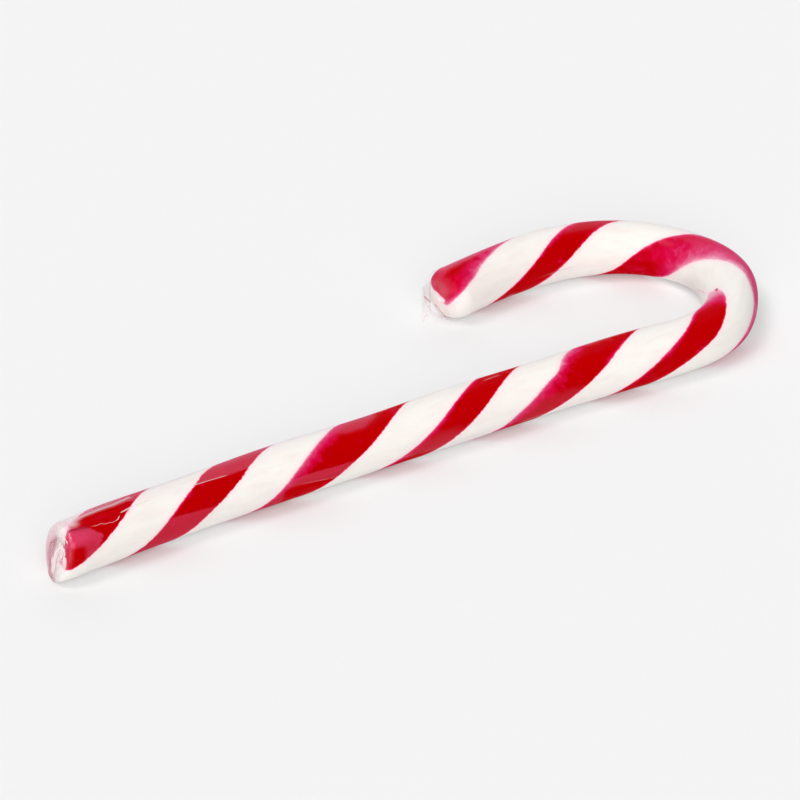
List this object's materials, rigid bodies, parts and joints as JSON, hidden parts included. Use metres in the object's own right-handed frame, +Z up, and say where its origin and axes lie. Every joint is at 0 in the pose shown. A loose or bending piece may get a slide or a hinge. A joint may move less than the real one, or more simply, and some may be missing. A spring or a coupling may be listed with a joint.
{
  "type": "wrapped candy cane",
  "caption": "Hook-shaped rod of red and white striped boiled sugar in a tight clear film folded over both ends, lying on its side.",
  "frame": {"origin": "on the ground, under the middle of the box of the whole wrapped cane", "axes": "+X along the straight stem from the foot to the bend, +Y to the side the hook curls to, +Z up from the surface the cane lies on"},
  "size_m": [0.156, 0.05, 0.0101],
  "materials": {
    "striped_sugar": "glossy boiled sugar, warm white with red stripes",
    "clear_film": "thin clear wrapping film, wrinkled at the ends"
  },
  "bodies": {
    "root": {"wrapped_cane": "striped_sugar"}
  },
  "joints": []
}
